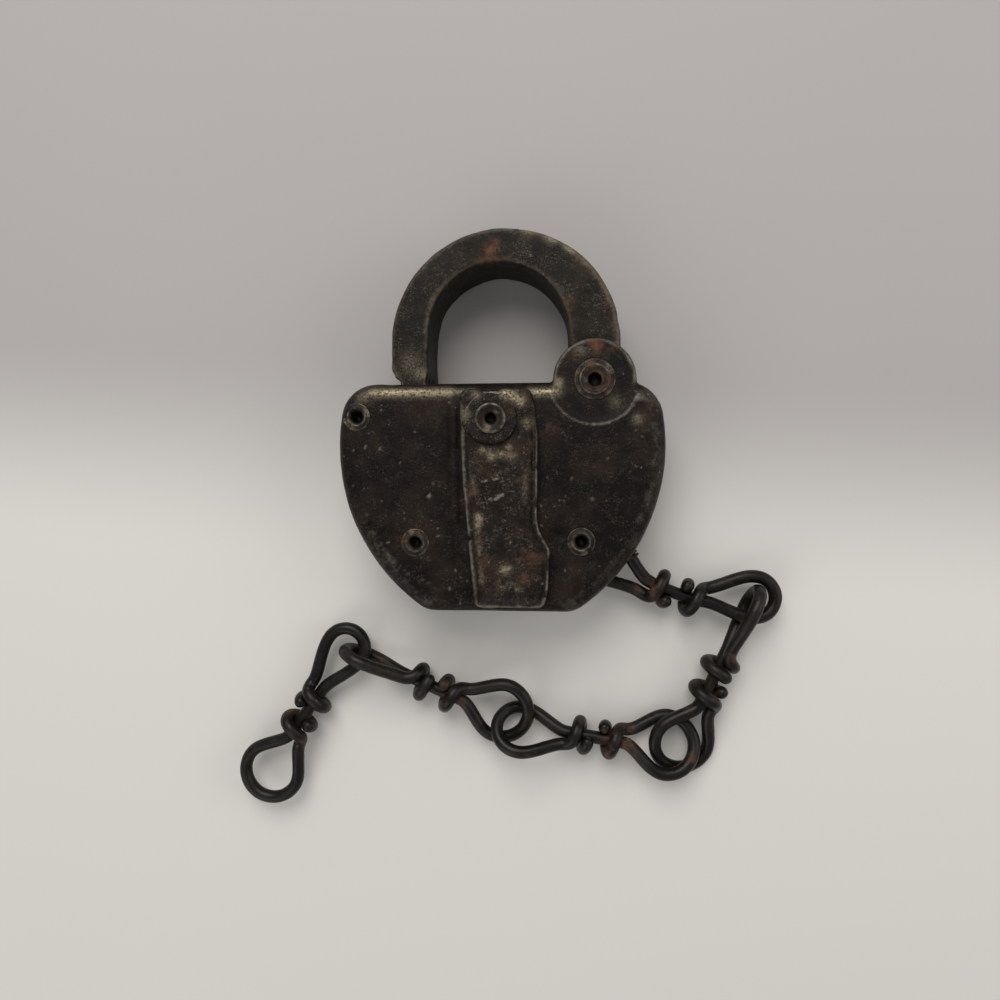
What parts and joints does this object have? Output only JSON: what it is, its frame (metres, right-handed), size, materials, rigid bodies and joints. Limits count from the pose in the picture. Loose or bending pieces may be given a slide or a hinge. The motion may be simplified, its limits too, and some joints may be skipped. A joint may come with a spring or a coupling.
{
  "type": "switch padlock with chain",
  "caption": "Heavy pressed steel padlock with a side-hinged shackle, a swinging keyhole cover and a short chain of knotted wire links.",
  "frame": {"origin": "middle of the case outline on its flat back face", "axes": "+Z out of the front of the lock, +Y towards the shackle, +X towards the shackle's hinge; the lock and its chain lie on the plane Z = 0"},
  "size_m": [0.1149, 0.1194, 0.0221],
  "materials": {
    "case_steel": "blackened, worn and specked pressed steel",
    "shackle_steel": "blackened forged steel with rust",
    "cover_steel": "blackened steel with rubbed bright rims",
    "rivet_steel": "worn steel with rust in the hollows",
    "lock_steel": "oiled steel",
    "spring_steel": "blued spring steel",
    "chain_wire": "black drawn steel wire, rubbed grey",
    "tie_wire": "rusted thin wire"
  },
  "bodies": {
    "case": {"front_case": "case_steel", "back_case": "case_steel", "heel_rivet": "rivet_steel", "upper_rivet": "rivet_steel", "lower_left_rivet": "rivet_steel", "lower_right_rivet": "rivet_steel", "cover_rivet": "rivet_steel", "cover_washer": "spring_steel", "key_post": "lock_steel", "lever_post": "lock_steel"},
    "shackle": {"shackle": "shackle_steel"},
    "cover": {"cover": "cover_steel"},
    "bolt": {"bolt": "lock_steel", "bolt_spring": "spring_steel"},
    "lever_1": {"lever_1": "lock_steel", "lever_spring_1": "spring_steel"},
    "lever_2": {"lever_2": "lock_steel", "lever_spring_2": "spring_steel"},
    "lever_3": {"lever_3": "lock_steel", "lever_spring_3": "spring_steel"},
    "link_1": {"link_1": "chain_wire", "tie_wire_inner": "tie_wire", "tie_wire_outer": "tie_wire"},
    "link_2": {"link_2": "chain_wire"},
    "link_3": {"link_3": "chain_wire"},
    "link_4": {"link_4": "chain_wire"},
    "link_5": {"link_5": "chain_wire"}
  },
  "joints": [
    {"name": "shackle_swing", "type": "hinge", "parent": "case", "child": "shackle", "pos_m": [0.0183, 0.0225, 0.009], "axis": [0, 0, -1], "range_deg": [0, 70]},
    {"name": "cover_swing", "type": "hinge", "parent": "case", "child": "cover", "pos_m": [-0.00145, 0.0149, 0.02], "axis": [0, 0, 1], "range_deg": [0, 75]},
    {"name": "bolt_throw", "type": "hinge", "parent": "case", "child": "bolt", "pos_m": [-0.0163, -0.0088, 0.01], "axis": [0, 0, 1], "range_deg": [0, 7]},
    {"name": "lever_1_drop", "type": "hinge", "parent": "case", "child": "lever_1", "pos_m": [-0.026, 0.003, 0.014], "axis": [0, 0, -1], "range_deg": [0, 4]},
    {"name": "lever_2_drop", "type": "hinge", "parent": "case", "child": "lever_2", "pos_m": [-0.026, 0.003, 0.014], "axis": [0, 0, -1], "range_deg": [0, 4]},
    {"name": "lever_3_drop", "type": "hinge", "parent": "case", "child": "lever_3", "pos_m": [-0.026, 0.003, 0.014], "axis": [0, 0, -1], "range_deg": [0, 4]},
    {"name": "link_1_swing", "type": "hinge", "parent": "case", "child": "link_1", "pos_m": [0.0157, -0.0085, 0.0048], "axis": [0, 0, 1], "range_deg": [-8, 8]},
    {"name": "link_2_swing", "type": "hinge", "parent": "link_1", "child": "link_2", "pos_m": [0.0522, -0.0205, 0.0048], "axis": [0, 0, 1], "range_deg": [-8, 25]},
    {"name": "link_3_swing", "type": "hinge", "parent": "link_2", "child": "link_3", "pos_m": [0.0354, -0.0539, 0.0048], "axis": [0, 0, -1], "range_deg": [-25, 8]},
    {"name": "link_4_swing", "type": "hinge", "parent": "link_3", "child": "link_4", "pos_m": [-0.0004, -0.0472, 0.0048], "axis": [0, 0, -1], "range_deg": [-25, 15]},
    {"name": "link_5_swing", "type": "hinge", "parent": "link_4", "child": "link_5", "pos_m": [-0.0332, -0.0327, 0.0048], "axis": [0, 0, 1], "range_deg": [-25, 25]}
  ]
}
